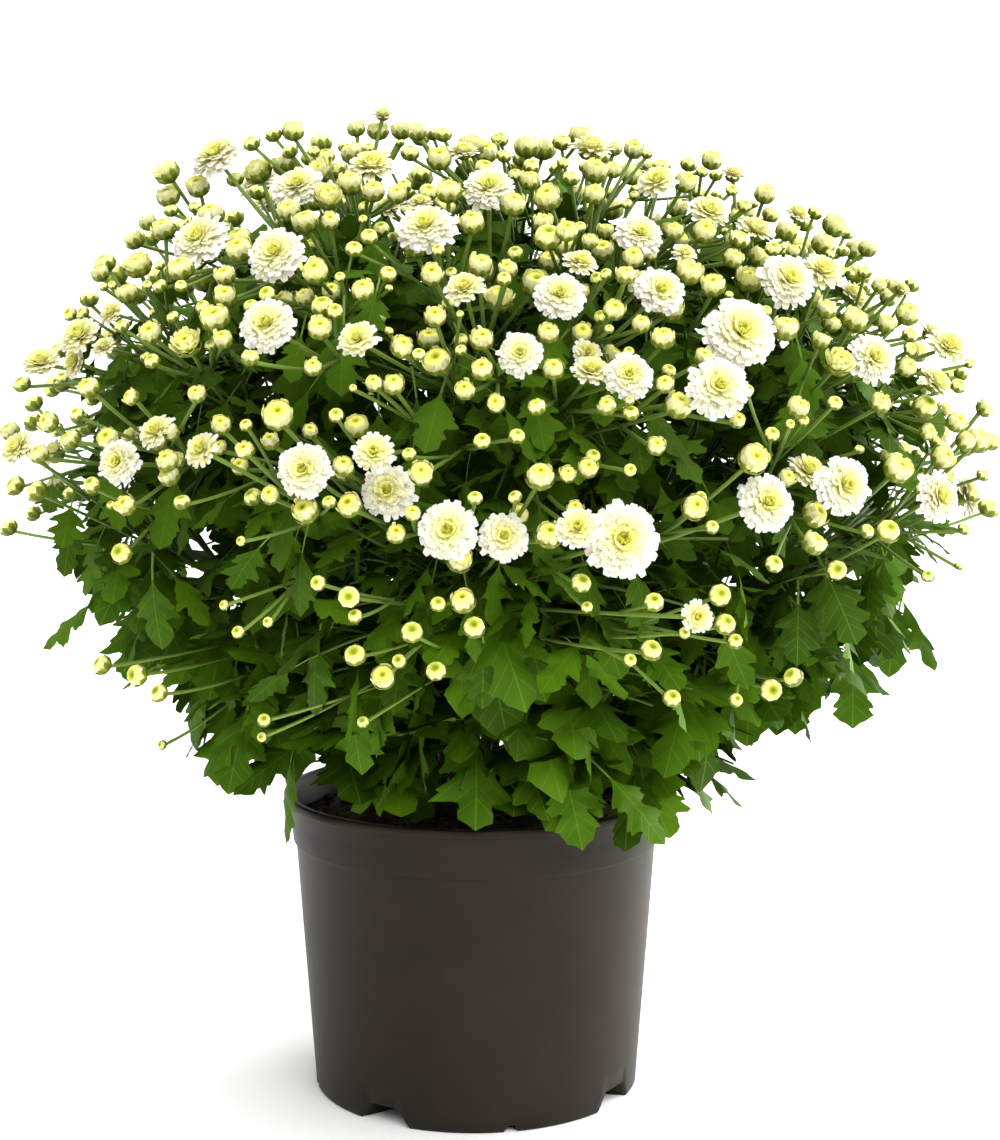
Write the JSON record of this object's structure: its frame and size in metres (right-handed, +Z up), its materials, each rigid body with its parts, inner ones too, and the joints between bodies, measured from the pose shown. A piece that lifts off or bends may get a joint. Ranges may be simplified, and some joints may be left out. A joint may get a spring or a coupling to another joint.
{
  "type": "potted chrysanthemum",
  "caption": "Rounded dome of white and pale yellow chrysanthemum heads and buds on leafy stems, growing from soil in a tapered plastic nursery pot.",
  "frame": {"origin": "middle of the pot's flat underside", "axes": "+Z up along the pot's axis, -Y towards the front of the plant as pictured"},
  "size_m": [0.5294, 0.5548, 0.5163],
  "materials": {
    "pot": "satin",
    "soil": "matte",
    "leafy_stem": "satin",
    "petal": "matte"
  },
  "bodies": {
    "root": {"pot": "pot", "soil": "soil", "leafy_stem_01": "leafy_stem", "leafy_stem_02": "leafy_stem", "leafy_stem_03": "leafy_stem", "leafy_stem_04": "leafy_stem", "leafy_stem_05": "leafy_stem", "leafy_stem_06": "leafy_stem", "leafy_stem_07": "leafy_stem", "leafy_stem_08": "leafy_stem", "leafy_stem_09": "leafy_stem", "leafy_stem_10": "leafy_stem", "leafy_stem_11": "leafy_stem", "leafy_stem_12": "leafy_stem", "leafy_stem_13": "leafy_stem", "leafy_stem_14": "leafy_stem", "leafy_stem_15": "leafy_stem", "leafy_stem_16": "leafy_stem", "leafy_stem_17": "leafy_stem", "bloom_01": "petal", "bloom_02": "petal", "bloom_03": "petal", "bloom_04": "petal", "bloom_05": "petal", "bloom_06": "petal", "bloom_07": "petal", "bloom_08": "petal", "bloom_09": "petal", "bloom_10": "petal", "bloom_11": "petal", "bloom_12": "petal", "bloom_13": "petal", "bloom_14": "petal", "bloom_15": "petal", "bloom_16": "petal", "bloom_17": "petal", "bloom_18": "petal", "bloom_19": "petal", "bloom_20": "petal", "bloom_21": "petal", "bloom_22": "petal", "bloom_23": "petal", "bloom_24": "petal", "bloom_25": "petal", "bloom_26": "petal", "bloom_27": "petal", "bloom_28": "petal", "bloom_29": "petal", "bloom_30": "petal", "bloom_31": "petal", "bloom_32": "petal", "bloom_33": "petal", "bloom_34": "petal", "bloom_35": "petal", "bloom_36": "petal", "bloom_37": "petal", "bloom_38": "petal", "bloom_39": "petal"}
  },
  "joints": []
}
